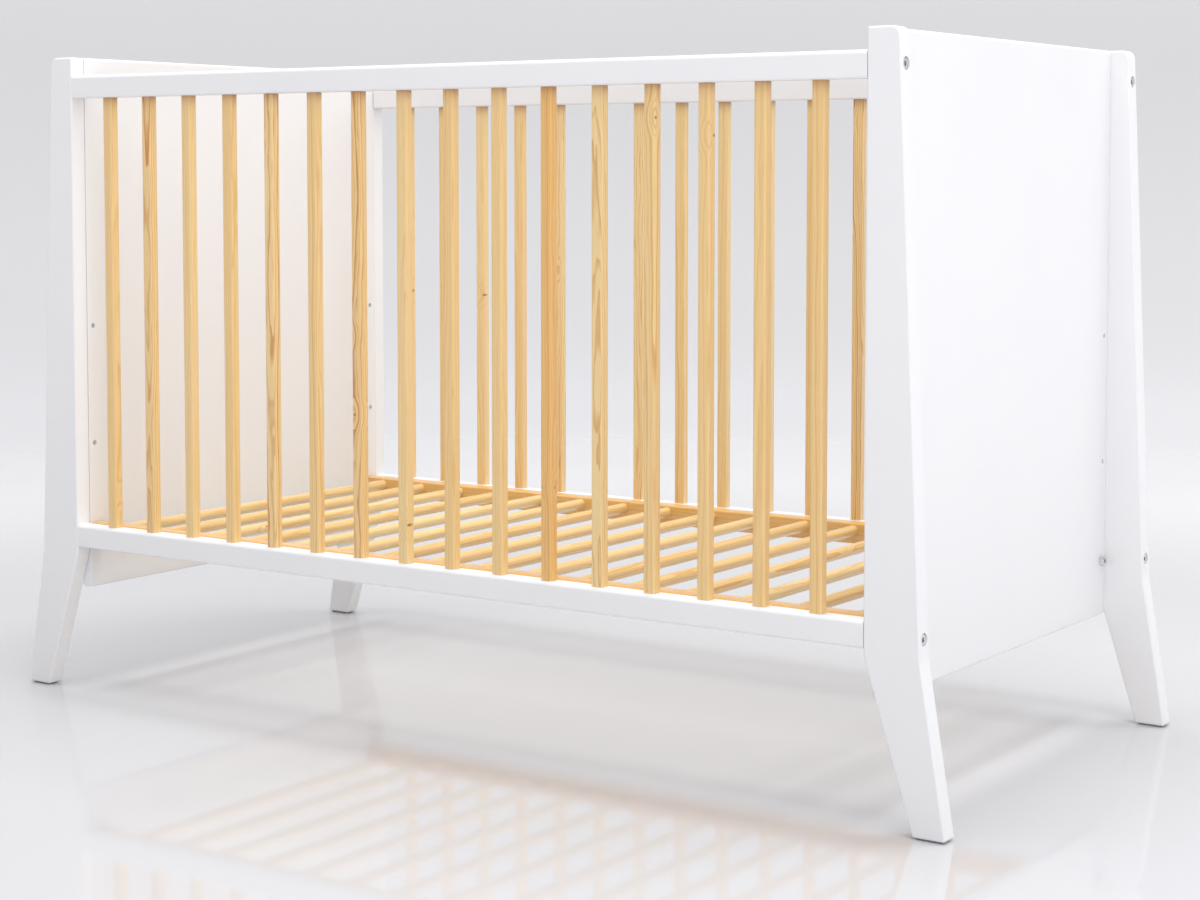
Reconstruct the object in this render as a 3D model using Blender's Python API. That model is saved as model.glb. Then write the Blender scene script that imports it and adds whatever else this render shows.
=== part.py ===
"""Baby crib for a 120 x 60 cm mattress: two solid end panels, slatted sides, slatted base.

Metres, +Z up. The origin is on the floor under the middle of the crib. +X runs along the
crib's length to its right end, and +Y to its rear side. Every wooden joint keeps a
hairline gap, so that each piece is its own closed body.
"""

import math

import bmesh
import bpy
from mathutils import Matrix, Vector

GAP = 0.0003  # hairline between pieces that touch

# The whole crib
INNER_LENGTH = 1.220  # between the inner edges of the left and right posts
OVERALL_WIDTH = 0.662  # over the outer faces of the front and rear posts
HEIGHT = 0.873  # from the floor to the top of the posts and end panels

# Posts: flat boards that widen downwards and splay below the knee
BOARD_THICKNESS = 0.024  # posts and side rails
POST_TOP_WIDTH = 0.0392
KNEE_WIDTH = 0.0688
KNEE_HEIGHT = 0.193
FOOT_INNER = 0.061  # from the post's inner edge to the foot's inner corner
FOOT_OUTER = 0.1005
SHOULDER_RADIUS = 0.011
KNEE_RADIUS = 0.060
BOARD_EDGE_RADIUS = 0.0025

# Glides under the feet
GLIDE_HEIGHT = 0.0015
GLIDE_LENGTH = 0.032
GLIDE_WIDTH = 0.018
GLIDE_CORNER = 0.004

# End panels, between the front and rear posts
PANEL_THICKNESS = 0.016
PANEL_BOTTOM = 0.141
PANEL_EDGE_RADIUS = 0.003

# Side rails and their slats
RAIL_HEIGHT = 0.031
BOTTOM_RAIL_HEIGHT = 0.216  # middle of the bottom rail above the floor
TOP_RAIL_HEIGHT = 0.833  # middle of the top rail above the floor
RAIL_TOP_RADIUS = 0.005
RAIL_BOTTOM_RADIUS = 0.0025
SLAT_COUNT = 16
SLAT_PITCH = 0.073
SLAT_WIDTH = 0.016  # along the crib
SLAT_DEPTH = 0.014  # across it
SLAT_CORNER = 0.003
TENON_INSET = 0.0025
TENON_LENGTH = 0.012
MORTISE_DEPTH = 0.013

# Mattress base: two rails joined by round bars, resting on four bolts
BASE_RAIL_THICKNESS = 0.022
BASE_RAIL_BOTTOM = 0.203
BASE_TOP = 0.232
BASE_RAIL_RADIUS = 0.003
BASE_SIDE_CLEARANCE = 0.0015  # to the side rails
BASE_END_CLEARANCE = 0.0015  # to the end panels
BAR_COUNT = 16
BAR_PITCH = 0.0766
BAR_DIAMETER = 0.015
BAR_HEIGHT = 0.2215  # middle of a bar above the floor
BAR_EMBEDDED = 0.008  # length of bar inside each base rail
BASE_BOLT_INSET = 0.0345  # from the posts' outer faces to the row of base holes
BASE_HOLE_HEIGHTS = (0.212, 0.342, 0.505)  # lowest one in use
BASE_SLOT_DEPTH = 0.030

# Hexagon socket bolts
SHANK_DIAMETER = 0.006
HOLE_DIAMETER = 0.007
HEAD_DIAMETER = 0.013
HEAD_HEIGHT = 0.005
HEAD_CHAMFER = 0.0007
SOCKET_ACROSS_FLATS = 0.005
SOCKET_DEPTH = 0.003
COUNTERBORE_DIAMETER = 0.015
COUNTERBORE_DEPTH = 0.0065
RAIL_BOLT_REACH = 0.027  # length of bolt inside the rail's end
RAIL_HOLE_DEPTH = 0.030
BASE_BOLT_REACH = 0.025  # length of bolt inside the base's slot
ROUND_SIDES = 16

ARC_STEP = math.radians(20)
SIDES = (("left", -1), ("right", 1))
ROWS = (("front", -1), ("rear", 1))
AXIS_ORDER = {"X": (2, 0, 1), "Y": (0, 2, 1), "Z": (0, 1, 2)}


# ---- scene and materials


def clear_scene():
    for obj in list(bpy.data.objects):
        bpy.data.objects.remove(obj, do_unlink=True)


def linear(channel):
    """One sRGB channel from 0 to 255 as linear light."""
    c = channel / 255
    return c / 12.92 if c <= 0.04045 else ((c + 0.055) / 1.055) ** 2.4


def material(name, colour, roughness, metallic=0.0):
    made = bpy.data.materials.new(name)
    made.use_nodes = True
    shader = made.node_tree.nodes["Principled BSDF"]
    shader.inputs["Base Color"].default_value = (*map(linear, colour), 1.0)
    shader.inputs["Roughness"].default_value = roughness
    shader.inputs["Metallic"].default_value = metallic
    return made


def place(name, bm, finish, location=(0, 0, 0), turn=0.0, parent=None):
    """Makes an object of the bmesh, turned about Z, and puts it under its parent."""
    bmesh.ops.recalc_face_normals(bm, faces=bm.faces)
    mesh = bpy.data.meshes.new(name)
    bm.to_mesh(mesh)
    bm.free()
    return place_mesh(name, mesh, finish, location, turn, parent)


def place_mesh(name, mesh, finish, location, turn=0.0, parent=None):
    if not mesh.materials:
        mesh.materials.append(finish)
    mesh.shade_smooth()
    mesh.set_sharp_from_angle(angle=math.radians(30))
    obj = bpy.data.objects.new(name, mesh)
    bpy.context.scene.collection.objects.link(obj)
    obj.location = location
    obj.rotation_euler = (0, 0, turn)
    obj.parent = parent
    return obj


def empty(name, location=(0, 0, 0), parent=None):
    obj = bpy.data.objects.new(name, None)
    bpy.context.scene.collection.objects.link(obj)
    obj.location = location
    obj.parent = parent
    return obj


# ---- outlines, in a plane


def rounded_outline(corners):
    """Points of a polygon whose corners (u, v, radius) are rounded with arcs."""
    points = []
    for i, (u, v, radius) in enumerate(corners):
        corner = Vector((u, v))
        if radius == 0:
            points.append(corner)
            continue
        to_last = (Vector(corners[i - 1][:2]) - corner).normalized()
        to_next = (Vector(corners[(i + 1) % len(corners)][:2]) - corner).normalized()
        half = to_last.angle(to_next) / 2
        centre = corner + (to_last + to_next).normalized() * (radius / math.sin(half))
        spoke = corner + to_last * (radius / math.tan(half)) - centre
        end = corner + to_next * (radius / math.tan(half)) - centre
        sweep = math.atan2(spoke.x * end.y - spoke.y * end.x, spoke.dot(end))
        steps = max(1, math.ceil(abs(sweep) / ARC_STEP))
        for k in range(steps + 1):
            points.append(centre + Matrix.Rotation(sweep * k / steps, 2) @ spoke)
    return points


def rectangle(width, height, radius=0.0, centre=(0.0, 0.0)):
    u, v = centre
    return rounded_outline(
        [
            (u + width / 2 * a, v + height / 2 * b, radius)
            for a, b in ((-1, -1), (1, -1), (1, 1), (-1, 1))
        ]
    )


def chamfered_rectangle(width, height, cut):
    """A rectangle with straight 45 degree corners."""
    half_u, half_v = width / 2, height / 2
    return [
        Vector((a * (half_u - (cut if first else 0)), b * (half_v - (0 if first else cut))))
        for a, b, first in (
            (-1, -1, True), (1, -1, True), (1, -1, False), (1, 1, False),
            (1, 1, True), (-1, 1, True), (-1, 1, False), (-1, -1, False),
        )
    ]


def circle(diameter, centre=(0.0, 0.0), sides=ROUND_SIDES):
    return [
        Vector(centre) + Vector((math.cos(a), math.sin(a))) * diameter / 2
        for a in (math.tau * k / sides for k in range(sides))
    ]


# ---- solids


def add_prism(bm, outline, axis, low, high):
    """Adds a closed prism: the outline's (u, v) swept along an axis from low to high."""
    order = AXIS_ORDER[axis]
    verts = []
    for point in outline:
        uvw = (point[0], point[1], low)
        verts.append(bm.verts.new([uvw[k] for k in order]))
    face = bm.faces.new(verts)
    swept = bmesh.ops.extrude_face_region(bm, geom=[face], use_keep_orig=True)
    moved = [g for g in swept["geom"] if isinstance(g, bmesh.types.BMVert)]
    along = Vector([(0, 0, high - low)[k] for k in order])
    bmesh.ops.translate(bm, verts=moved, vec=along)


def prism(outline, axis, low, high):
    bm = bmesh.new()
    add_prism(bm, outline, axis, low, high)
    return bm


def add_turned(bm, profile, height=0.0):
    """Adds a solid turned about X, at a height, from (x, radius) points that end on it."""
    verts = [bm.verts.new((x, 0, height + radius)) for x, radius in profile]
    edges = [bm.edges.new(pair) for pair in zip(verts, verts[1:])]
    bmesh.ops.spin(
        bm, geom=verts + edges, cent=(0, 0, height), axis=(1, 0, 0),
        angle=math.tau, steps=ROUND_SIDES,
    )
    bmesh.ops.remove_doubles(bm, verts=bm.verts, dist=1e-6)


def round_edges(obj, width):
    """Rounds the object's sharp edges; the arcs of its outline stay as they are."""
    bevel = obj.modifiers.new("rounded_edges", "BEVEL")
    bevel.width = width
    bevel.segments = 2
    bevel.limit_method = "ANGLE"
    bevel.angle_limit = math.radians(30)


def combine(obj, other_bm, operation, label):
    """Cuts the other shape from the object, or joins it on, with a hidden helper."""
    bmesh.ops.recalc_face_normals(other_bm, faces=other_bm.faces)
    mesh = bpy.data.meshes.new(f"{obj.name}_{label}")
    other_bm.to_mesh(mesh)
    other_bm.free()
    helper = bpy.data.objects.new(mesh.name, mesh)
    bpy.context.scene.collection.objects.link(helper)
    helper.hide_render = True
    helper.display_type = "WIRE"
    helper.parent = obj
    boolean = obj.modifiers.new(label, "BOOLEAN")
    boolean.operation = operation
    boolean.object = helper


# ---- posts, glides and end panels


def post_width(height):
    """Width of a post above its knee, from its inner edge to its sloping outer edge."""
    share = (HEIGHT - height) / (HEIGHT - KNEE_HEIGHT)
    return POST_TOP_WIDTH + (KNEE_WIDTH - POST_TOP_WIDTH) * share


def make_post(name, location, turn, parent, finish):
    """A post board. Its origin is under its inner edge, and its own +X points outwards."""
    foot = GLIDE_HEIGHT + GAP
    outline = rounded_outline(
        [
            (FOOT_INNER, foot, 0),
            (FOOT_OUTER, foot, 0),
            (KNEE_WIDTH, KNEE_HEIGHT, KNEE_RADIUS),
            (POST_TOP_WIDTH, HEIGHT, SHOULDER_RADIUS),
            (0, HEIGHT, 0),
            (0, KNEE_HEIGHT, KNEE_RADIUS),
        ]
    )
    half = BOARD_THICKNESS / 2
    post = place(name, prism(outline, "Y", -half, half), finish, location, turn, parent)
    round_edges(post, BOARD_EDGE_RADIUS)
    holes = bmesh.new()
    for height in (BOTTOM_RAIL_HEIGHT, TOP_RAIL_HEIGHT):
        seat = post_width(height) - COUNTERBORE_DEPTH
        stepped = [
            (-0.005, 0),
            (-0.005, HOLE_DIAMETER / 2),
            (seat, HOLE_DIAMETER / 2),
            (seat, COUNTERBORE_DIAMETER / 2),
            (0.1, COUNTERBORE_DIAMETER / 2),
            (0.1, 0),
        ]
        add_turned(holes, stepped, height)
    combine(post, holes, "DIFFERENCE", "bolt_holes")
    return post


def make_glide(name, location, turn, parent, finish):
    middle = (FOOT_INNER + FOOT_OUTER) / 2
    outline = rectangle(GLIDE_LENGTH, GLIDE_WIDTH, GLIDE_CORNER, (middle, 0))
    return place(
        name, prism(outline, "Z", 0, GLIDE_HEIGHT), finish, location, turn, parent
    )


def make_end_panel(name, side, parent, finish):
    """An end panel, with three holes near each post for the base's three heights."""
    height = HEIGHT - PANEL_BOTTOM
    outline = rectangle(
        PANEL_THICKNESS, height, PANEL_EDGE_RADIUS, (0, PANEL_BOTTOM + height / 2)
    )
    half = OVERALL_WIDTH / 2 - BOARD_THICKNESS - GAP
    x = side * (INNER_LENGTH + PANEL_THICKNESS) / 2
    panel = place(name, prism(outline, "Y", -half, half), finish, (x, 0, 0), 0, parent)
    holes = bmesh.new()
    for row in (-1, 1):
        for level in BASE_HOLE_HEIGHTS:
            centre = (row * (OVERALL_WIDTH / 2 - BASE_BOLT_INSET), level)
            add_prism(
                holes, circle(HOLE_DIAMETER, centre), "X",
                -PANEL_THICKNESS, PANEL_THICKNESS,
            )
    combine(panel, holes, "DIFFERENCE", "base_holes")
    return panel


# ---- sides: rails and slats


def slat_places():
    return [(i - (SLAT_COUNT - 1) / 2) * SLAT_PITCH for i in range(SLAT_COUNT)]


def make_side_rail(name, location, slat_side, parent, finish):
    """A side rail about its middle. slat_side is +1 where its slats stand on it."""
    half_y, half_z = BOARD_THICKNESS / 2, RAIL_HEIGHT / 2
    outline = rounded_outline(
        [
            (-half_y, -half_z, RAIL_BOTTOM_RADIUS),
            (half_y, -half_z, RAIL_BOTTOM_RADIUS),
            (half_y, half_z, RAIL_TOP_RADIUS),
            (-half_y, half_z, RAIL_TOP_RADIUS),
        ]
    )
    half = INNER_LENGTH / 2 - GAP
    rail = place(name, prism(outline, "X", -half, half), finish, location, 0, parent)
    cuts = bmesh.new()
    mortise = [size - 2 * (TENON_INSET - GAP) for size in (SLAT_WIDTH, SLAT_DEPTH)]
    ends = sorted((slat_side * (half_z - MORTISE_DEPTH), slat_side * (half_z + 0.01)))
    for x in slat_places():
        add_prism(cuts, rectangle(*mortise, centre=(x, 0)), "Z", *ends)
    for side in (-1, 1):
        ends = sorted((side * (half - RAIL_HOLE_DEPTH), side * (half + 0.01)))
        add_prism(cuts, circle(HOLE_DIAMETER), "X", *ends)
    combine(rail, cuts, "DIFFERENCE", "mortises_and_bolt_holes")
    return rail


def slat_mesh(length, finish):
    """One slat about its middle: a chamfered stick with a tenon at each end."""
    outline = chamfered_rectangle(SLAT_WIDTH, SLAT_DEPTH, SLAT_CORNER)
    bm = prism(outline, "Z", -length / 2, length / 2)
    bmesh.ops.recalc_face_normals(bm, faces=bm.faces)
    for end in (-1, 1):
        shoulder = [f for f in bm.faces if f.normal.z * end > 0.9]
        bmesh.ops.inset_region(bm, faces=shoulder, thickness=TENON_INSET)
        tenon = bmesh.ops.extrude_face_region(bm, geom=shoulder)
        tip = [g for g in tenon["geom"] if isinstance(g, bmesh.types.BMVert)]
        bmesh.ops.translate(bm, verts=tip, vec=(0, 0, end * TENON_LENGTH))
        bmesh.ops.delete(bm, geom=shoulder, context="FACES_ONLY")
    bmesh.ops.recalc_face_normals(bm, faces=bm.faces)
    mesh = bpy.data.meshes.new("slat")
    bm.to_mesh(mesh)
    bm.free()
    mesh.materials.append(finish)
    return mesh


def make_sides(parent, lacquer, pine):
    clear = TOP_RAIL_HEIGHT - BOTTOM_RAIL_HEIGHT - RAIL_HEIGHT
    slat = slat_mesh(clear - 2 * GAP, pine)
    middle = (TOP_RAIL_HEIGHT + BOTTOM_RAIL_HEIGHT) / 2
    for row, toward in ROWS:
        y = toward * (OVERALL_WIDTH - BOARD_THICKNESS) / 2
        make_side_rail(f"top_rail_{row}", (0, y, TOP_RAIL_HEIGHT), -1, parent, lacquer)
        make_side_rail(
            f"bottom_rail_{row}", (0, y, BOTTOM_RAIL_HEIGHT), 1, parent, lacquer
        )
        for number, x in enumerate(slat_places(), 1):
            place_mesh(
                f"slat_{row}_{number:02d}", slat, pine, (x, y, middle), parent=parent
            )


# ---- mattress base


def make_mattress_base(parent, pine):
    """The glued base: two rails along the crib, bars across it, a slot over each bolt."""
    lift = Vector(parent.location)
    outer = OVERALL_WIDTH / 2 - BOARD_THICKNESS - BASE_SIDE_CLEARANCE
    rail_middle = outer - BASE_RAIL_THICKNESS / 2
    half = INNER_LENGTH / 2 - BASE_END_CLEARANCE
    height = BASE_TOP - BASE_RAIL_BOTTOM
    rails = bmesh.new()
    for row in (-1, 1):
        centre = (row * rail_middle, BASE_TOP - height / 2 - lift.z)
        outline = rectangle(BASE_RAIL_THICKNESS, height, BASE_RAIL_RADIUS, centre)
        add_prism(rails, outline, "X", -half, half)
    base = place("mattress_base", rails, pine, parent=parent)

    reach = rail_middle - BASE_RAIL_THICKNESS / 2 + BAR_EMBEDDED
    bars = bmesh.new()
    for i in range(BAR_COUNT):
        x = (i - (BAR_COUNT - 1) / 2) * BAR_PITCH
        outline = circle(BAR_DIAMETER, (x, BAR_HEIGHT - lift.z), sides=12)
        add_prism(bars, outline, "Y", -reach, reach)
    combine(base, bars, "UNION", "bars")

    slots = bmesh.new()
    radius = SHANK_DIAMETER / 2 + GAP
    bolt_y = OVERALL_WIDTH / 2 - BASE_BOLT_INSET
    bolt_z = BASE_HOLE_HEIGHTS[0] - lift.z
    for row in (-1, 1):
        y = row * bolt_y
        arch = [
            Vector((y, bolt_z)) + Vector((math.cos(a), math.sin(a))) * radius
            for a in (math.pi * k / 6 for k in range(7))
        ]
        outline = arch + [
            Vector((y - radius, bolt_z - 0.02)),
            Vector((y + radius, bolt_z - 0.02)),
        ]
        for side in (-1, 1):
            ends = sorted((side * (half - BASE_SLOT_DEPTH), side * (half + 0.01)))
            add_prism(slots, outline, "X", *ends)
    combine(base, slots, "DIFFERENCE", "bolt_slots")
    return base


# ---- bolts


def make_bolt(name, shank, location, turn, parent, finish):
    """A socket bolt. Its origin is under its head, and its head is on the +X side."""
    head, rim = HEAD_DIAMETER / 2, HEAD_CHAMFER
    outline = [
        (-shank, 0),
        (-shank, SHANK_DIAMETER / 2),
        (0, SHANK_DIAMETER / 2),
        (0, head),
        (HEAD_HEIGHT - rim, head),
        (HEAD_HEIGHT, head - rim),
        (HEAD_HEIGHT, 0),
    ]
    bm = bmesh.new()
    add_turned(bm, outline)
    bolt = place(name, bm, finish, location, turn, parent)
    across_corners = SOCKET_ACROSS_FLATS / math.cos(math.pi / 6)
    socket = prism(
        circle(across_corners, sides=6), "X", HEAD_HEIGHT - SOCKET_DEPTH, 0.02
    )
    combine(bolt, socket, "DIFFERENCE", "hex_socket")
    return bolt


def make_crib():
    lacquer = material("white_satin_lacquer", (240, 240, 243), 0.38)
    pine = material("lacquered_pine", (232, 200, 145), 0.42)
    steel = material("zinc_plated_steel", (190, 190, 192), 0.32, 1.0)
    plastic = material("grey_plastic", (120, 120, 124), 0.55)

    frame = empty("crib_frame")
    lift = empty("mattress_base_lift", (0, 0, BASE_HOLE_HEIGHTS[0]), frame)

    for side, outward in SIDES:
        turn = 0.0 if outward > 0 else math.pi
        post_x = outward * INNER_LENGTH / 2
        panel_face = post_x + outward * (PANEL_THICKNESS + GAP)
        base_shank = PANEL_THICKNESS + GAP + BASE_END_CLEARANCE + BASE_BOLT_REACH
        make_end_panel(f"end_panel_{side}", outward, frame, lacquer)
        for row, toward in ROWS:
            corner = f"{row}_{side}"
            y = toward * (OVERALL_WIDTH - BOARD_THICKNESS) / 2
            here = (post_x, y, 0)
            make_post(f"post_{corner}", here, turn, frame, lacquer)
            make_glide(f"foot_glide_{corner}", here, turn, frame, plastic)
            for level, height in (
                ("bottom", BOTTOM_RAIL_HEIGHT), ("top", TOP_RAIL_HEIGHT),
            ):
                seat = post_width(height) - COUNTERBORE_DEPTH + GAP
                make_bolt(
                    f"rail_bolt_{corner}_{level}", seat + RAIL_BOLT_REACH,
                    (post_x + outward * seat, y, height), turn, frame, steel,
                )
            bolt_y = toward * (OVERALL_WIDTH / 2 - BASE_BOLT_INSET)
            make_bolt(
                f"base_bolt_{corner}", base_shank,
                (panel_face, bolt_y, BASE_HOLE_HEIGHTS[0]), turn, frame, steel,
            )

    make_sides(frame, lacquer, pine)
    make_mattress_base(lift, pine)


clear_scene()
make_crib()
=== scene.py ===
"""The looks of a baby crib: white lacquered posts, rails and end panels, pine slats and base.

Metres, +Z up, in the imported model's frame: +X along the crib to its right end, +Y to its
rear side, origin on the floor under its middle. Every piece is a surface worked out with
numpy, placed from the boxes of the CAD nodes that it stands for.
"""

import math

import bmesh
import bpy
import numpy as np
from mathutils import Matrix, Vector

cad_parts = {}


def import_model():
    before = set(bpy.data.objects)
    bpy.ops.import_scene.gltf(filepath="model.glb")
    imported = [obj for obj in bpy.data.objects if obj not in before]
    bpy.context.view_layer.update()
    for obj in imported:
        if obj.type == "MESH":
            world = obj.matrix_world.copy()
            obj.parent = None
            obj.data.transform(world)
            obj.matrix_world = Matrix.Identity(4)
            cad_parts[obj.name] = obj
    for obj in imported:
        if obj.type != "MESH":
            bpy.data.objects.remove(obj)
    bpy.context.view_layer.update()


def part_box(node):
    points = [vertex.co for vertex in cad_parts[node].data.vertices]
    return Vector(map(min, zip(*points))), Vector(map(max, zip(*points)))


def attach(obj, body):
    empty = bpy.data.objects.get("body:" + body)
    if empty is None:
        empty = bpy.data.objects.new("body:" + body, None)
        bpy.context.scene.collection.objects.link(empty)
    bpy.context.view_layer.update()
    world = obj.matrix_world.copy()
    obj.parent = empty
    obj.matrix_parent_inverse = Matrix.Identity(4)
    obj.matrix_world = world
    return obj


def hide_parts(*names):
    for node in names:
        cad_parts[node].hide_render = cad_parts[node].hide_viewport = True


SIDES = (("left", -1), ("right", 1))
ROWS = (("front", -1), ("rear", 1))
SLATS = range(1, 17)
BARS = 16

# Posts, measured from a post's inner edge outwards
POST_TOP_WIDTH = 0.0392
KNEE_WIDTH = 0.0688
KNEE_HEIGHT = 0.193
FOOT_INNER = 0.061
FOOT_OUTER = 0.1005
SHOULDER_RADIUS = 0.011
KNEE_RADIUS = 0.060
CORNER_RADIUS = 0.003
BOARD_EDGE = 0.0025

# Rails, panels and glides
RAIL_TOP_RADIUS = 0.005
RAIL_BOTTOM_RADIUS = 0.0025
PANEL_EDGE = 0.003
SAWN_EDGE = 0.0004  # the light sanding of a sawn end
GLIDE_CORNER = 0.004
GLIDE_EDGE = 0.0006

# Slats and the base's bars
BOLD_SLATS = {  # sawn where the grain is strong and wavy
    ("front", 2), ("front", 5), ("front", 7), ("front", 12), ("rear", 5), ("rear", 7), ("rear", 12),
}
RUDDY_SLATS = {("front", 11)}  # resinous, so more orange
SLAT_CORNER = 0.003
BAR_DIAMETER = 0.015
BAR_PITCH = 0.0766
BAR_EMBEDDED = 0.004
BAR_DEPTH = 0.0105  # from the base rails' top to the middle of a bar
BASE_RAIL_THICKNESS = 0.022
BASE_RAIL_RADIUS = 0.003

# Where in a trunk the sticks are sawn
NEAREST_PITH = 0.012
FURTHEST_PITH = 0.085
LEAN = 0.014  # the steepest slope of a stick to the pith
TRUNK_LENGTH = 20
QUIET_FIGURE = 0.4  # the most figure of a stick that isn't bold, which has 1
RUDDY_TONE = 2.0  # the others have 0 to 1

# Hexagon socket bolts and their holes
HEAD_RADIUS = 0.0065
HEAD_HEIGHT = 0.005
HEAD_CHAMFER = 0.0008
SHANK_RADIUS = 0.003
SHANK_CHAMFER = 0.0006
SOCKET_FLAT = 0.0025  # half the distance across the socket's flats
SOCKET_DEPTH = 0.003
SOCKET_CHAMFER = 0.0003
HOLE_RADIUS = 0.0035
COUNTERBORE_RADIUS = 0.0075
BASE_HOLE_HEIGHTS = (0.212, 0.342, 0.505)

# Open slots in the ends of the base's rails, which drop over the bolts
SLOT_DEPTH = 0.030
SLOT_PLAY = 0.0005
SLOT_MOUTH = 0.0005

# Barrel nuts, let into the rails from below
NUT_RADIUS = 0.005
NUT_BOTTOM = 0.0006  # this and the next three are heights above the rail's underside
DRIVER_SLOT_TOP = 0.0018
NUT_TOP = 0.020
NUT_HOLE_TOP = 0.0205
NUT_INSET = 0.0225  # from a rail's end to the middle of its barrel nut
NUT_EDGE = 0.0005
NUT_PLAY = 0.0002
DRIVER_SLOT = 0.0006  # half the width of the slot for a screwdriver
DRIVER_SLOT_CORNER = 0.0001

ARC_STEPS = 6
POST_ARC_STEPS = 10
ROUND_STEPS = 48
PAST = 0.01  # how far a cutter reaches past the face that it opens
PAST_POST = 0.12  # clear of a post and its splayed foot, from the post's inner edge
SHARP_ANGLE = 35  # degrees, past which an edge isn't shaded smooth

CRIB_MIDDLE = 0.4  # the height that the lights face
SOFTBOX = 4.2  # the side of the three large lights


# ---- surfaces


def outline(corners, steps=ARC_STEPS):
    """Points and outward normals of a polygon, anticlockwise, with rounded corners.

    A corner (u, v, radius) becomes an arc. The direction of travel turns evenly from one
    side to the next, the normal is that direction turned a right angle clockwise, and a
    point is the arc's centre plus the radius times the normal.
    """
    spots = np.array([corner[:2] for corner in corners], float)
    points, normals = [], []
    for i, (*_, radius) in enumerate(corners):
        before = spots[i] - spots[i - 1]
        after = spots[(i + 1) % len(spots)] - spots[i]
        start = math.atan2(before[1], before[0])
        turn = math.remainder(math.atan2(after[1], after[0]) - start, math.tau)
        travel = start + turn * np.linspace(0, 1, steps + 1)
        normal = np.stack([np.sin(travel), -np.cos(travel)], axis=1)
        bend = math.copysign(radius, turn)
        back = before / np.linalg.norm(before) * radius * abs(math.tan(turn / 2))
        centre = spots[i] - back - bend * normal[0]
        points.append(centre + bend * normal)
        normals.append(normal)
    return np.concatenate(points), np.concatenate(normals)


def rectangle(low, high, top_radius, bottom_radius=None):
    """The outline of an upright rectangle between two corners."""
    bottom_radius = top_radius if bottom_radius is None else bottom_radius
    return outline(
        [
            (low[0], low[1], bottom_radius),
            (high[0], low[1], bottom_radius),
            (high[0], high[1], top_radius),
            (low[0], high[1], top_radius),
        ]
    )


def circle(radius, centre):
    """Points and normals of a circle: the cosine and sine of an even turn."""
    turn = np.arange(ROUND_STEPS) / ROUND_STEPS * math.tau
    normals = np.stack([np.cos(turn), np.sin(turn)], axis=1)
    return np.array(centre) + radius * normals, normals


def swept(shape, axis, low, high, edge=0.0):
    """An outline carried along an axis (0, 1 or 2), with its two end edges rounded.

    Ring by ring, the outline shrinks along its normals by edge times one minus the
    cosine of a roll angle, while it moves to the end face by edge times its sine. The
    outline's own two directions are the other two axes, in the order X, Y, Z.
    """
    points, normals = shape
    roll = np.linspace(0, math.pi / 2, ARC_STEPS + 1) if edge else np.array([math.pi / 2])
    shrink = edge * (1 - np.cos(roll))
    reach = edge * (np.sin(roll) - 1)
    shrinks = np.concatenate([shrink[::-1], shrink])
    heights = np.concatenate([(low - reach)[::-1], high + reach])
    across = [other for other in range(3) if other != axis]
    grid = np.empty((len(heights), len(points), 3))
    grid[..., across] = points - shrinks[:, None, None] * normals
    grid[..., axis] = heights[:, None]
    return grid


def turned(profile, flats=None):
    """Rings about X from (x, radius) pairs. A ring named in flats is a hexagon.

    A round ring is the radius times cosine and sine. A hexagon's radius at an angle is
    its flat distance over the cosine of the angle to the nearest flat's middle.
    """
    turn = np.arange(ROUND_STEPS) / ROUND_STEPS * math.tau
    nearest = (turn + math.pi / 6) % (math.pi / 3) - math.pi / 6
    rings = []
    for i, (x, radius) in enumerate(profile):
        reach = radius / np.cos(nearest) if flats and i in flats else radius + 0 * turn
        ring = [np.full_like(turn, x), reach * np.cos(turn), reach * np.sin(turn)]
        rings.append(np.stack(ring, axis=1))
    return np.array(rings)


def mesh_of(name, grid):
    """A closed mesh from rings of points: quads between the rings, one face at each end."""
    rings, count = grid.shape[:2]
    here = np.arange(count)
    there = (here + 1) % count
    base = np.arange(rings - 1)[:, None] * count
    quads = np.stack([base + here, base + there, base + count + there, base + count + here], axis=-1)
    last = (rings - 1) * count
    ends = [list(range(count))[::-1], list(range(last, last + count))]
    mesh = bpy.data.meshes.new(name)
    mesh.from_pydata(grid.reshape(-1, 3), [], quads.reshape(-1, 4).tolist() + ends)
    tidy = bmesh.new()
    tidy.from_mesh(mesh)
    bmesh.ops.remove_doubles(tidy, verts=tidy.verts, dist=1e-7)
    bmesh.ops.recalc_face_normals(tidy, faces=tidy.faces)
    tidy.to_mesh(mesh)
    tidy.free()
    return mesh


def without(mesh, grids):
    """The mesh with the shapes of some cutter grids taken out of it."""
    body = bpy.data.objects.new(mesh.name, mesh)
    bpy.context.scene.collection.objects.link(body)
    cutters = []
    for grid in grids:
        cutter = bpy.data.objects.new("cutter", mesh_of("cutter", grid))
        bpy.context.scene.collection.objects.link(cutter)
        cut = body.modifiers.new("cut", "BOOLEAN")
        cut.operation = "DIFFERENCE"
        cut.object = cutter
        cutters.append(cutter)
    graph = bpy.context.evaluated_depsgraph_get()
    result = bpy.data.meshes.new_from_object(body.evaluated_get(graph))
    for helper in [body, *cutters]:
        bpy.data.objects.remove(helper)
    return result


def places_of(mesh):
    """The places of a mesh's vertices, one row for each."""
    points = np.empty(len(mesh.vertices) * 3, np.float32)
    mesh.vertices.foreach_get("co", points)
    return points.reshape(-1, 3)


def moved(mesh, name, place, facing):
    """A copy of a mesh, moved to a place. Facing -1 turns it half round about Z first,
    which changes the sign of X and Y."""
    copy = mesh.copy()
    copy.name = name
    points = places_of(copy) * np.array([facing, facing, 1.0]) + np.array(place)
    copy.vertices.foreach_set("co", points.astype(np.float32).ravel())
    copy.update()
    return copy


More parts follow.
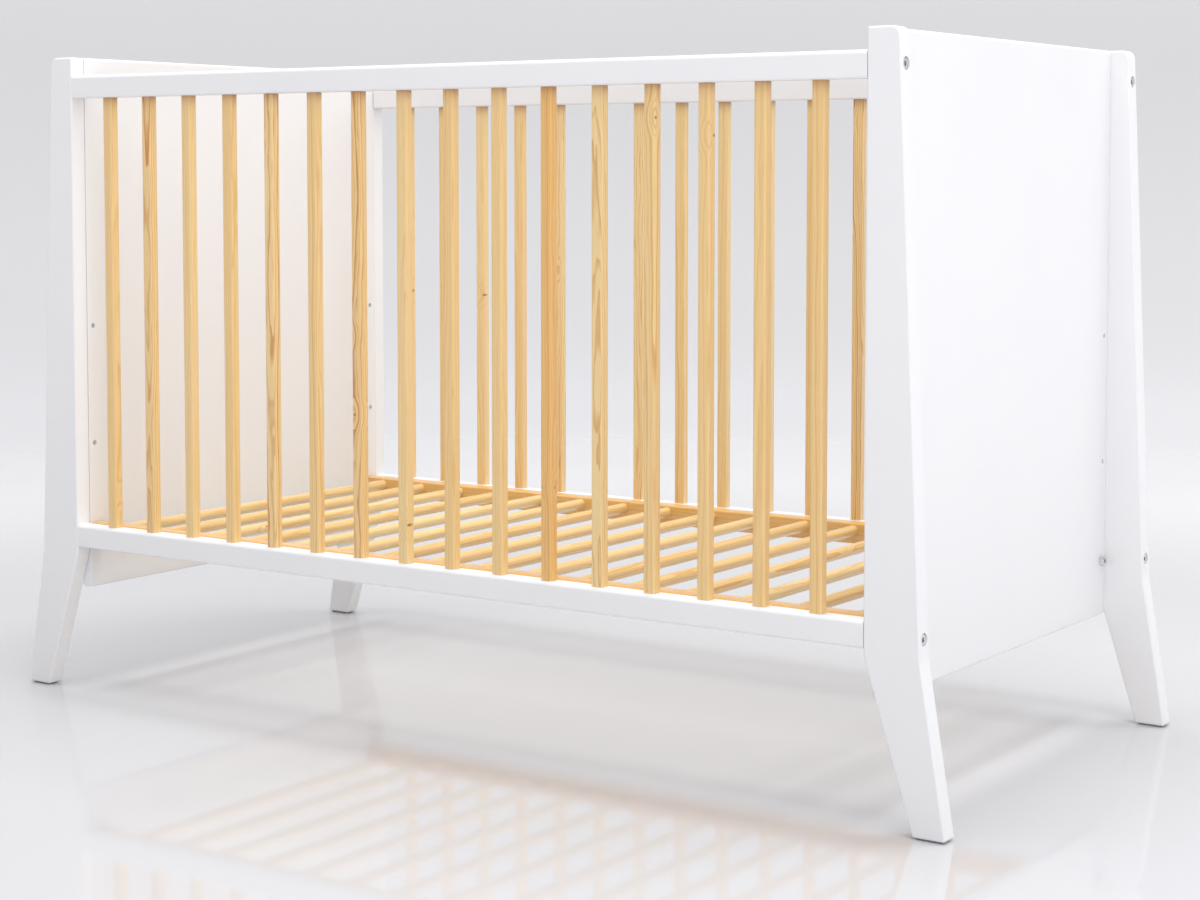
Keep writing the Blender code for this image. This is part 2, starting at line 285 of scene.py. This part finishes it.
def piece(mesh, finish, body, nodes=()):
    """Shows a finished mesh as a piece that rides on a body and stands for CAD nodes."""
    mesh.materials.clear()
    mesh.materials.append(finish)
    mesh.shade_smooth()
    mesh.set_sharp_from_angle(angle=math.radians(SHARP_ANGLE))
    obj = bpy.data.objects.new(mesh.name, mesh)
    bpy.context.scene.collection.objects.link(obj)
    even = obj.modifiers.new("flat_faces_stay_flat", "WEIGHTED_NORMAL")
    even.keep_sharp = True
    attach(obj, body)
    if nodes:
        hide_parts(*nodes)
    return obj


# ---- materials


def colour(code):
    """An sRGB hex colour as linear light, with alpha."""
    channels = np.array([int(code[i : i + 2], 16) for i in (1, 3, 5)]) / 255
    light = np.where(channels <= 0.04045, channels / 12.92, ((channels + 0.055) / 1.055) ** 2.4)
    return (*light.tolist(), 1.0)


def add(tree, kind, inputs=None, **settings):
    """Adds a node, sets its properties, then sets or links its inputs.

    A node given as an input stands for its first output in use.
    """
    made = tree.nodes.new(kind)
    for key, value in settings.items():
        setattr(made, key, value)
    for key, value in (inputs or {}).items():
        if isinstance(value, bpy.types.Node):
            value = next(output for output in value.outputs if output.enabled)
        if isinstance(value, bpy.types.NodeSocket):
            tree.links.new(value, made.inputs[key])
        else:
            made.inputs[key].default_value = value
    return made


def paint_ramp(ramp, stops):
    """Gives a colour ramp smooth stops, each a place from 0 to 1 and a colour."""
    ramp.interpolation = "EASE"
    while len(ramp.elements) < len(stops):
        ramp.elements.new(1.0)
    for element, (place, code) in zip(ramp.elements, stops):
        element.position = place
        element.color = colour(code)


def new_material(name):
    """A material and its empty tree."""
    made = bpy.data.materials.new(name)
    made.use_nodes = True
    made.node_tree.nodes.clear()
    return made, made.node_tree


def satin_white_lacquer():
    """Sprayed satin polyurethane lacquer over board: an even cool white, a soft sheen, and
    a faint orange peel a few millimetres across that breaks up its highlights."""
    made, tree = new_material("satin_white_lacquer")
    where = add(tree, "ShaderNodeTexCoord").outputs["Object"]
    peel = add(
        tree, "ShaderNodeTexNoise",
        {"Vector": where, "Scale": 1 / 0.004, "Detail": 2.0, "Roughness": 0.5},
    )
    cloud = add(tree, "ShaderNodeTexNoise", {"Vector": where, "Scale": 1 / 0.12, "Detail": 3.0})
    tint = add(
        tree, "ShaderNodeMix",
        {"Factor": cloud, "A": colour("#EDEDEF"), "B": colour("#F0F0F1")}, data_type="RGBA",
    )
    sheen = add(tree, "ShaderNodeMapRange", {"Value": cloud, "To Min": 0.30, "To Max": 0.42})
    bump = add(tree, "ShaderNodeBump", {"Height": peel, "Strength": 0.25, "Distance": 0.00006})
    shader = add(
        tree, "ShaderNodeBsdfPrincipled",
        {"Base Color": tint, "Roughness": sheen, "Normal": bump, "IOR": 1.48},
    )
    add(tree, "ShaderNodeOutputMaterial", {"Surface": shader})
    return made


def lacquered_pine(rail_bottom):
    """Planed Scots pine under clear satin lacquer: pale honey earlywood, orange latewood
    lines that arch where the saw leaves the trunk's direction, fine fibres, pin knots, and a
    painted shade that darkens the slats just under the top rail.

    The log attribute is the point's place in the trunk, with the pith along its Z. The
    figure attribute says how bold the stick's grain is, and tone how orange it is.
    """
    made, tree = new_material("lacquered_pine")
    log = add(tree, "ShaderNodeAttribute", attribute_name="log").outputs["Vector"]
    tone = add(tree, "ShaderNodeAttribute", attribute_name="tone").outputs["Fac"]
    figure = add(tree, "ShaderNodeAttribute", attribute_name="figure").outputs["Fac"]
    place = add(tree, "ShaderNodeSeparateXYZ", {"Vector": log})

    # Knots are branches, which run straight out from the pith: spots in angle and height,
    # on the trunk unrolled as a sheet
    knot_spacing, trunk_radius = 0.34, 0.05
    angle = add(
        tree, "ShaderNodeMath", {0: place.outputs["Y"], 1: place.outputs["X"]}, operation="ARCTAN2"
    )
    girth = add(tree, "ShaderNodeMath", {0: angle, 1: trunk_radius}, operation="MULTIPLY")
    unrolled = add(tree, "ShaderNodeCombineXYZ", {"X": girth, "Y": place.outputs["Z"]})
    branch = add(
        tree, "ShaderNodeTexVoronoi",
        {"Vector": unrolled, "Scale": 1 / knot_spacing, "Randomness": 1.0},
        voronoi_dimensions="2D",
    )
    from_knot = add(
        tree, "ShaderNodeMath", {0: branch.outputs["Distance"], 1: knot_spacing},
        operation="MULTIPLY",
    )
    near_knot = add(
        tree, "ShaderNodeMapRange",
        {"Value": from_knot, "From Max": 0.030, "To Min": 0.0045, "To Max": 0.0},
        interpolation_type="SMOOTHERSTEP",
    )
    knot_core = add(
        tree, "ShaderNodeMapRange",
        {"Value": from_knot, "From Min": 0.0010, "From Max": 0.0026, "To Min": 0.9, "To Max": 0.0},
        interpolation_type="SMOOTHSTEP",
    )

    # The trunk isn't round: its rings wander by some millimetres along its length
    stretch = add(tree, "ShaderNodeMapping", {"Vector": log, "Scale": (34.0, 34.0, 5.0)})
    wander = add(
        tree, "ShaderNodeTexNoise",
        {"Vector": stretch, "Scale": 1.0, "Detail": 3.0, "Roughness": 0.5},
    )
    swing = add(tree, "ShaderNodeMapRange", {"Value": figure, "To Min": 0.009, "To Max": 0.020})
    shift = add(
        tree, "ShaderNodeMath", {0: wander, 1: swing, 2: near_knot}, operation="MULTIPLY_ADD"
    )
    flat = add(tree, "ShaderNodeVectorMath", {0: log, 1: (1, 1, 0)}, operation="MULTIPLY")
    across = add(tree, "ShaderNodeVectorMath", {0: flat}, operation="LENGTH")
    radius = add(
        tree, "ShaderNodeMath", {0: across.outputs["Value"], 1: shift}, operation="ADD"
    )

    # A ring about every 3 mm. A noise along the radius makes some wider and some narrower.
    growth = add(
        tree, "ShaderNodeTexNoise", {"W": radius, "Scale": 1 / 0.009, "Detail": 1.0},
        noise_dimensions="1D",
    )
    count = add(
        tree, "ShaderNodeMath", {0: radius, 1: 1 / 0.0030, 2: growth}, operation="MULTIPLY_ADD"
    )
    year = add(tree, "ShaderNodeMath", {0: count}, operation="FRACT")
    number = add(tree, "ShaderNodeMath", {0: count}, operation="FLOOR")
    weather = add(tree, "ShaderNodeTexWhiteNoise", {"W": number}, noise_dimensions="1D")
    lean = add(
        tree, "ShaderNodeMath", {0: weather.outputs["Value"], 1: 3.0}, operation="POWER"
    )

    # Latewood starts early in a lean year, darkens, and ends in a sharp line
    line_start = 0.93
    start = add(tree, "ShaderNodeMapRange", {"Value": lean, "To Min": 0.60, "To Max": 0.05})
    late = add(
        tree, "ShaderNodeMapRange", {"Value": year, "From Min": start, "From Max": line_start},
        interpolation_type="SMOOTHSTEP",
    )
    line = add(
        tree, "ShaderNodeMapRange",
        {"Value": year, "From Min": line_start, "From Max": 1.0, "To Min": 1.0, "To Max": 0.0},
    )
    band = add(tree, "ShaderNodeMath", {0: late, 1: line}, operation="MULTIPLY")
    boldness = add(tree, "ShaderNodeMapRange", {"Value": lean, "To Min": 0.42, "To Max": 1.0})
    faint = add(tree, "ShaderNodeMapRange", {"Value": figure, "To Min": 0.55, "To Max": 1.0})
    bold = add(tree, "ShaderNodeMath", {0: boldness, 1: faint}, operation="MULTIPLY")
    drawn = add(tree, "ShaderNodeMath", {0: band, 1: bold}, operation="MULTIPLY")
    latewood = add(
        tree, "ShaderNodeMix",
        {"Factor": figure, "A": colour("#E0AB5C"), "B": colour("#CC8522")}, data_type="RGBA",
    )
    grained = add(
        tree, "ShaderNodeMix",
        {"Factor": drawn, "A": colour("#F5DCA4"), "B": latewood}, data_type="RGBA",
    )

    # Fibres, coarser than the real ones so that they show
    width, length = 0.0012, 0.06
    strands = add(
        tree, "ShaderNodeMapping", {"Vector": log, "Scale": (1 / width, 1 / width, 1 / length)}
    )
    fibre = add(
        tree, "ShaderNodeTexNoise",
        {"Vector": strands, "Scale": 1.0, "Detail": 2.0, "Roughness": 0.6},
    )
    fibre_tint = add(
        tree, "ShaderNodeMix",
        {"Factor": fibre, "A": colour("#EFE4D2"), "B": colour("#FFFFFF")}, data_type="RGBA",
    )
    fibred = add(
        tree, "ShaderNodeMix", {"Factor": 1.0, "A": grained, "B": fibre_tint},
        data_type="RGBA", blend_type="MULTIPLY",
    )

    # Sticks differ a little, and a painted shade darkens each slat just under the top rail,
    # standing in for the shadow in that corner.
    # A tone past 1 goes on beyond the tint.
    tone_tint = add(
        tree, "ShaderNodeMix",
        {"Factor": tone, "A": colour("#FFFFFF"), "B": colour("#FCF0DF")}, data_type="RGBA",
        clamp_factor=False,
    )
    toned = add(
        tree, "ShaderNodeMix", {"Factor": 1.0, "A": fibred, "B": tone_tint},
        data_type="RGBA", blend_type="MULTIPLY",
    )
    # Painted shade: a darker tint over the top 24 mm of each slat, strongest at the rail
    painted_shade_height = 0.024
    spot = add(tree, "ShaderNodeTexCoord").outputs["Object"]
    height = add(tree, "ShaderNodeSeparateXYZ", {"Vector": spot}).outputs["Z"]
    corner = add(
        tree, "ShaderNodeMapRange",
        {"Value": height, "From Min": rail_bottom - painted_shade_height, "From Max": rail_bottom},
    )
    shade_weight = add(tree, "ShaderNodeMath", {0: corner, 1: 3.0}, operation="POWER")
    painted_shade_tint = add(
        tree, "ShaderNodeMix",
        {"Factor": shade_weight, "A": colour("#FFFFFF"), "B": colour("#D0B9B5")}, data_type="RGBA",
    )
    with_painted_shade = add(
        tree, "ShaderNodeMix", {"Factor": 1.0, "A": toned, "B": painted_shade_tint},
        data_type="RGBA", blend_type="MULTIPLY",
    )
    knotted = add(
        tree, "ShaderNodeMix", {"Factor": knot_core, "A": with_painted_shade, "B": colour("#A0622E")},
        data_type="RGBA",
    )
    bump = add(tree, "ShaderNodeBump", {"Height": fibre, "Strength": 0.3, "Distance": 0.00005})
    shader = add(
        tree, "ShaderNodeBsdfPrincipled",
        {
            "Base Color": knotted, "Normal": bump, "Roughness": 0.42, "IOR": 1.5,
            "Coat Weight": 1.0, "Coat Roughness": 0.22,
        },
    )
    add(tree, "ShaderNodeOutputMaterial", {"Surface": shader})
    return made


def zinc_plated_steel():
    """Cold formed steel bolts, zinc plated and passivated: bright cool grey metal with a
    slightly cloudy, uneven shine."""
    made, tree = new_material("zinc_plated_steel")
    where = add(tree, "ShaderNodeTexCoord").outputs["Object"]
    cloud = add(tree, "ShaderNodeTexNoise", {"Vector": where, "Scale": 1 / 0.003, "Detail": 4.0})
    tint = add(
        tree, "ShaderNodeMix",
        {"Factor": cloud, "A": colour("#D6D7D9"), "B": colour("#F0F0F1")}, data_type="RGBA",
    )
    shine = add(tree, "ShaderNodeMapRange", {"Value": cloud, "To Min": 0.20, "To Max": 0.38})
    shader = add(
        tree, "ShaderNodeBsdfPrincipled",
        {"Base Color": tint, "Roughness": shine, "Metallic": 1.0},
    )
    add(tree, "ShaderNodeOutputMaterial", {"Surface": shader})
    return made


def moulded_polyethylene():
    """Injection moulded grey polyethylene glides: dull, with a fine spark eroded grain."""
    made, tree = new_material("moulded_polyethylene")
    where = add(tree, "ShaderNodeTexCoord").outputs["Object"]
    grain = add(tree, "ShaderNodeTexNoise", {"Vector": where, "Scale": 1 / 0.0006, "Detail": 2.0})
    tint = add(
        tree, "ShaderNodeMix",
        {"Factor": grain, "A": colour("#8E8F93"), "B": colour("#9A9B9F")}, data_type="RGBA",
    )
    bump = add(tree, "ShaderNodeBump", {"Height": grain, "Strength": 0.4, "Distance": 0.00008})
    shader = add(
        tree, "ShaderNodeBsdfPrincipled", {"Base Color": tint, "Normal": bump, "Roughness": 0.55}
    )
    add(tree, "ShaderNodeOutputMaterial", {"Surface": shader})
    return made


def saw_from_log(mesh, along, seed, bold=False, ruddy=False):
    """Stores each vertex's place in the trunk that the stick was sawn from.

    The stick's own coordinates are turned by a random angle about its length, moved a
    random distance out from the pith, and leaned a little, so its rings run out. A bold
    stick has the strongest figure, and a ruddy one the most orange tone.
    """
    rng = np.random.default_rng(seed)
    points = places_of(mesh)
    points = points - (points.min(0) + points.max(0)) / 2
    length = points[:, along]
    u, v = points[:, (along + 1) % 3], points[:, (along + 2) % 3]
    turn = rng.uniform(0, math.tau)
    lean = rng.uniform(-LEAN, LEAN, 2)
    far = rng.uniform(NEAREST_PITH, FURTHEST_PITH)
    a = u * math.cos(turn) + v * math.sin(turn) + far + lean[0] * length
    b = v * math.cos(turn) - u * math.sin(turn) + lean[1] * length
    log = np.stack([a, b, length + rng.uniform(0, TRUNK_LENGTH)], axis=1)
    mesh.attributes.new("log", "FLOAT_VECTOR", "POINT").data.foreach_set(
        "vector", log.astype(np.float32).ravel()
    )
    figure = 1.0 if bold else rng.uniform(0.0, QUIET_FIGURE)
    tone = RUDDY_TONE if ruddy else rng.random()
    for name, value in (("tone", tone), ("figure", figure)):
        mesh.attributes.new(name, "FLOAT", "POINT").data.foreach_set(
            "value", np.full(len(mesh.vertices), value, np.float32)
        )


# ---- the white frame


def make_posts(finish):
    """Four post boards: the outline with its long edges rounded, counterbored for bolts."""
    low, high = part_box("post_front_right")
    inner = low.x
    half = (high.y - low.y) / 2
    shape = outline(
        [
            (FOOT_INNER, low.z, CORNER_RADIUS),
            (FOOT_OUTER, low.z, CORNER_RADIUS),
            (KNEE_WIDTH, KNEE_HEIGHT, KNEE_RADIUS),
            (POST_TOP_WIDTH, high.z, SHOULDER_RADIUS),
            (0, high.z, CORNER_RADIUS),
            (0, KNEE_HEIGHT, KNEE_RADIUS),
        ],
        POST_ARC_STEPS,
    )
    board = mesh_of("post", swept(shape, 1, -half, half, BOARD_EDGE))
    holes = []
    for level in ("bottom", "top"):
        head_low, head_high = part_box(f"rail_bolt_front_right_{level}")
        height = (head_low.z + head_high.z) / 2
        seat = head_high.x - HEAD_HEIGHT - inner
        hole = turned(
            [
                (-PAST, HOLE_RADIUS), (seat, HOLE_RADIUS),
                (seat, COUNTERBORE_RADIUS), (PAST_POST, COUNTERBORE_RADIUS),
            ]
        )
        holes.append(hole + np.array([0, 0, height]))
    board = without(board, holes)
    for side, outward in SIDES:
        for row, _ in ROWS:
            name = f"post_{row}_{side}"
            low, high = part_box(name)
            middle = (low.y + high.y) / 2
            mesh = moved(board, f"{name}_board", (outward * inner, middle, 0), outward)
            piece(mesh, finish, "root", [name])


def make_end_panels(finish):
    """Two panels: an upright slab with rounded top and bottom edges, drilled six times."""
    for side, _ in SIDES:
        name = f"end_panel_{side}"
        low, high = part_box(name)
        shape = rectangle((low.x, low.z), (high.x, high.z), PANEL_EDGE)
        mesh = mesh_of(f"{name}_slab", swept(shape, 1, low.y, high.y, SAWN_EDGE))
        holes = []
        for row, _ in ROWS:
            head_low, head_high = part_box(f"base_bolt_{row}_{side}")
            y = (head_low.y + head_high.y) / 2
            for level in BASE_HOLE_HEIGHTS:
                hole = circle(HOLE_RADIUS, (y, level))
                holes.append(swept(hole, 0, low.x - PAST, high.x + PAST))
        piece(without(mesh, holes), finish, "root", [name])


def make_side_rails(finish, steel):
    """Four side rails of one rounded section, with barrel nuts let into their undersides."""
    for row, _ in ROWS:
        for level in ("top", "bottom"):
            name = f"{level}_rail_{row}"
            low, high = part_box(name)
            shape = rectangle((low.y, low.z), (high.y, high.z), RAIL_TOP_RADIUS, RAIL_BOTTOM_RADIUS)
            mesh = mesh_of(f"{name}_bar", swept(shape, 0, low.x, high.x, SAWN_EDGE))
            middle = (low.y + high.y) / 2
            holes = []
            for side, outward in SIDES:
                x = outward * (high.x - NUT_INSET)
                hole = circle(NUT_RADIUS + NUT_PLAY, (x, middle))
                holes.append(swept(hole, 2, low.z - PAST, low.z + NUT_HOLE_TOP))
                make_barrel_nut(f"barrel_nut_{level}_{row}_{side}", x, middle, low.z, steel)
            piece(without(mesh, holes), finish, "root", [name])


def make_barrel_nut(name, x, y, underside, steel):
    """A pin, which is a circle carried upwards, with a screwdriver slot across its foot."""
    bottom, top = underside + NUT_BOTTOM, underside + NUT_TOP
    pin = mesh_of(name, swept(circle(NUT_RADIUS, (x, y)), 2, bottom, top, NUT_EDGE))
    shape = rectangle(
        (y - DRIVER_SLOT, underside - PAST),
        (y + DRIVER_SLOT, underside + DRIVER_SLOT_TOP),
        DRIVER_SLOT_CORNER,
    )
    slot = swept(shape, 0, x - PAST, x + PAST)
    piece(without(pin, [slot]), steel, "root")


def make_foot_glides(finish):
    """Four pads: a rectangle with rounded corners and softened edges."""
    for side, _ in SIDES:
        for row, _ in ROWS:
            name = f"foot_glide_{row}_{side}"
            low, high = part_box(name)
            shape = rectangle((low.x, low.y), (high.x, high.y), GLIDE_CORNER)
            mesh = mesh_of(f"{name}_pad", swept(shape, 2, low.z, high.z, GLIDE_EDGE))
            piece(mesh, finish, "root", [name])


# ---- the pine


def make_slats(finish):
    """Thirty-two slats between the rails: one rounded rectangle carried straight up."""
    for row, _ in ROWS:
        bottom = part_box(f"bottom_rail_{row}")[1].z
        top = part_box(f"top_rail_{row}")[0].z
        for number in SLATS:
            name = f"slat_{row}_{number:02d}"
            low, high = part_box(name)
            shape = rectangle((low.x, low.y), (high.x, high.y), SLAT_CORNER)
            mesh = mesh_of(f"{name}_stick", swept(shape, 2, bottom, top, SAWN_EDGE))
            here = (row, number)
            seed = 100 * (row == "rear") + number
            saw_from_log(mesh, 2, seed, here in BOLD_SLATS, here in RUDDY_SLATS)
            piece(mesh, finish, "root", [name])


def make_mattress_base(finish):
    """The base's two rails, slotted at their ends over the bolts, and its round bars."""
    low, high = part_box("mattress_base")
    for row, toward in ROWS:
        outer = toward * high.y
        edges = sorted((outer, outer - toward * BASE_RAIL_THICKNESS))
        shape = rectangle((edges[0], low.z), (edges[1], high.z), BASE_RAIL_RADIUS)
        mesh = mesh_of(f"base_rail_{row}", swept(shape, 0, low.x, high.x, SAWN_EDGE))
        bolt_low, bolt_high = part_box(f"base_bolt_{row}_right")
        y, z = (bolt_low.y + bolt_high.y) / 2, (bolt_low.z + bolt_high.z) / 2
        radius = SHANK_RADIUS + SLOT_PLAY
        arch = rectangle(
            (y - radius, low.z - PAST), (y + radius, z + radius), radius * 0.98, SLOT_MOUTH
        )
        slots = [
            swept(arch, 0, low.x - PAST, low.x + SLOT_DEPTH),
            swept(arch, 0, high.x - SLOT_DEPTH, high.x + PAST),
        ]
        mesh = without(mesh, slots)
        saw_from_log(mesh, 0, 300 + toward, ruddy=True)
        stands_for = ["mattress_base"] if row == "front" else []
        piece(mesh, finish, "mattress_base", stands_for)
    reach = high.y - BASE_RAIL_THICKNESS + BAR_EMBEDDED
    middle = high.z - BAR_DEPTH
    for i in range(BARS):
        x = (i - (BARS - 1) / 2) * BAR_PITCH
        shape = circle(BAR_DIAMETER / 2, (x, middle))
        mesh = mesh_of(f"base_bar_{i + 1:02d}", swept(shape, 1, -reach, reach))
        saw_from_log(mesh, 1, 400 + i)
        piece(mesh, finish, "mattress_base")


# ---- bolts


def make_bolts(steel):
    """Socket bolts: rings about X, round but for the hexagonal rings of the socket."""
    kinds = ["rail_bolt_{}_{}_top", "rail_bolt_{}_{}_bottom", "base_bolt_{}_{}"]
    for side, outward in SIDES:
        for row, _ in ROWS:
            for kind in kinds:
                name = kind.format(row, side)
                low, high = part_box(name)
                tip = HEAD_HEIGHT - (high.x - low.x)
                rings = turned(
                    [
                        (tip, SHANK_RADIUS - SHANK_CHAMFER),
                        (tip + SHANK_CHAMFER, SHANK_RADIUS),
                        (0, SHANK_RADIUS),
                        (0, HEAD_RADIUS),
                        (HEAD_HEIGHT - HEAD_CHAMFER, HEAD_RADIUS),
                        (HEAD_HEIGHT, HEAD_RADIUS - HEAD_CHAMFER),
                        (HEAD_HEIGHT, SOCKET_FLAT + SOCKET_CHAMFER),
                        (HEAD_HEIGHT - SOCKET_CHAMFER, SOCKET_FLAT),
                        (HEAD_HEIGHT - SOCKET_DEPTH, SOCKET_FLAT),
                    ],
                    flats={6, 7, 8},
                )
                head = high.x if outward > 0 else low.x
                spot = (head - outward * HEAD_HEIGHT, (low.y + high.y) / 2, (low.z + high.z) / 2)
                mesh = moved(mesh_of("bolt", rings), f"{name}_steel", spot, outward)
                piece(mesh, steel, "root", [name])


# ---- studio


def painted_backdrop():
    """Glossy pale grey paint on a curved board, rubbed down to matt further out: it mirrors
    the crib near its feet, and the grey is evened out for the light that falls on it."""
    made, tree = new_material("painted_backdrop")
    where = add(tree, "ShaderNodeTexCoord").outputs["Object"]
    height = add(tree, "ShaderNodeSeparateXYZ", {"Vector": where}).outputs["Z"]
    flat = add(tree, "ShaderNodeVectorMath", {0: where, 1: (1, 1, 0)}, operation="MULTIPLY")
    out = add(tree, "ShaderNodeVectorMath", {0: flat}, operation="LENGTH").outputs["Value"]
    far = add(tree, "ShaderNodeMapRange", {"Value": out, "From Min": 1.2, "From Max": 4.4})
    floor = add(tree, "ShaderNodeValToRGB", {"Fac": far})
    paint_ramp(
        floor.color_ramp,
        ((0.0, "#C5C5C8"), (0.38, "#E0E0E3"), (0.62, "#DFDFE2"), (1.0, "#E6E6E9")),
    )
    share = add(tree, "ShaderNodeMapRange", {"Value": height, "From Max": 1.6})
    wall = add(tree, "ShaderNodeValToRGB", {"Fac": share})
    paint_ramp(
        wall.color_ramp,
        ((0.0, "#E6E6E9"), (0.3, "#EAEAEC"), (0.7, "#E9E9EB"), (1.0, "#EEEEF0")),
    )
    rise = add(
        tree, "ShaderNodeMapRange", {"Value": height, "From Max": 0.06},
        interpolation_type="SMOOTHSTEP",
    )
    tint = add(tree, "ShaderNodeMix", {"Factor": rise, "A": floor, "B": wall}, data_type="RGBA")
    mirror = add(
        tree, "ShaderNodeMapRange",
        {"Value": out, "From Min": 2.0, "From Max": 4.6, "To Min": 0.045, "To Max": 0.6},
        interpolation_type="SMOOTHSTEP",
    )
    shader = add(
        tree, "ShaderNodeBsdfPrincipled", {"Base Color": tint, "Roughness": mirror, "IOR": 1.45}
    )
    add(tree, "ShaderNodeOutputMaterial", {"Surface": shader})
    return made


def make_studio():
    """A round floor that curves up into a wall all about the crib, and soft lights.

    The backdrop is a profile turned about Z. It runs out flat, then its slope angle grows
    smoothly with the length of the sweep, so there is no line where the floor ends.
    """
    flat, sweep, sides = 3.2, 8.5, 128
    share = np.linspace(0, 0.8, 61)
    slope = math.pi / 2 * share**2 * (3 - 2 * share)
    step = sweep * (share[1] - share[0])
    middle = (slope[1:] + slope[:-1]) / 2
    floor = np.linspace(0.4, flat, 8)
    out = np.concatenate([floor, flat + step * np.cumsum(np.cos(middle))])
    up = np.concatenate([0 * floor, step * np.cumsum(np.sin(middle))])
    turn = np.arange(sides) / sides * math.tau
    rings = [np.outer(out, np.cos(turn)), np.outer(out, np.sin(turn)), np.outer(up, np.ones(sides))]
    grid = np.stack(rings, axis=-1)
    here, there = np.arange(sides), (np.arange(sides) + 1) % sides
    base = np.arange(len(grid) - 1)[:, None] * sides
    quads = np.stack([base + here, base + sides + here, base + sides + there, base + there], axis=-1)
    mesh = bpy.data.meshes.new("backdrop")
    mesh.from_pydata(grid.reshape(-1, 3), [], [here.tolist(), *quads.reshape(-1, 4).tolist()])
    mesh.materials.append(painted_backdrop())
    mesh.shade_smooth()
    backdrop = bpy.data.objects.new("backdrop", mesh)
    bpy.context.scene.collection.objects.link(backdrop)

    add_softbox("key_light", (4.4, -2.6, 4.0), SOFTBOX, 100)
    add_softbox("top_light", (0.0, 0.0, 6.0), SOFTBOX, 392)
    add_softbox("rear_light", (3.5, 3.5, 4.0), SOFTBOX, 86)
    add_softbox("fill_light", (2.6, -3.6, 0.9), 1.8, 19)

    world = bpy.data.worlds.new("studio_air")
    world.use_nodes = True
    air = world.node_tree.nodes["Background"]
    air.inputs["Color"].default_value = colour("#FEFEFF")
    air.inputs["Strength"].default_value = 0.36
    bpy.context.scene.world = world


def add_softbox(name, place, size, power):
    """A square white area light at a place, turned to face the crib's middle. It is hidden
    from the camera and from the floor's mirror, so no view shows the lamp itself."""
    light = bpy.data.lights.new(name, "AREA")
    light.size = size
    light.energy = power
    lamp = bpy.data.objects.new(name, light)
    bpy.context.scene.collection.objects.link(lamp)
    lamp.location = place
    lamp.visible_camera = False
    lamp.visible_glossy = False
    x, y, z = place[0], place[1], place[2] - CRIB_MIDDLE
    lamp.rotation_euler = (math.atan2(math.hypot(x, y), z), 0, math.atan2(y, x) + math.pi / 2)


def make_camera():
    """A long lens at the height of a standing child's eyes, from the right. The frame is
    shifted down, so that the camera tilts less and the posts stay nearly upright."""
    data = bpy.data.cameras.new("camera")
    data.sensor_width = 36
    data.lens = 70.06
    data.shift_y = -0.11
    camera = bpy.data.objects.new("camera", data)
    bpy.context.scene.collection.objects.link(camera)
    camera.location = (1.7922, -2.5621, 0.7186)
    tilt, bearing = math.radians(3.604), math.radians(34.408)
    camera.rotation_euler = (math.pi / 2 - tilt, 0, bearing)
    bpy.context.scene.camera = camera


def main():
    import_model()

    make_camera()
    make_studio()
    bpy.context.scene.view_settings.view_transform = "Standard"

    white = satin_white_lacquer()
    pine = lacquered_pine(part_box("top_rail_front")[0].z)
    steel = zinc_plated_steel()
    make_posts(white)
    make_end_panels(white)
    make_side_rails(white, steel)
    make_foot_glides(moulded_polyethylene())
    make_slats(pine)
    make_mattress_base(pine)
    make_bolts(steel)


main()
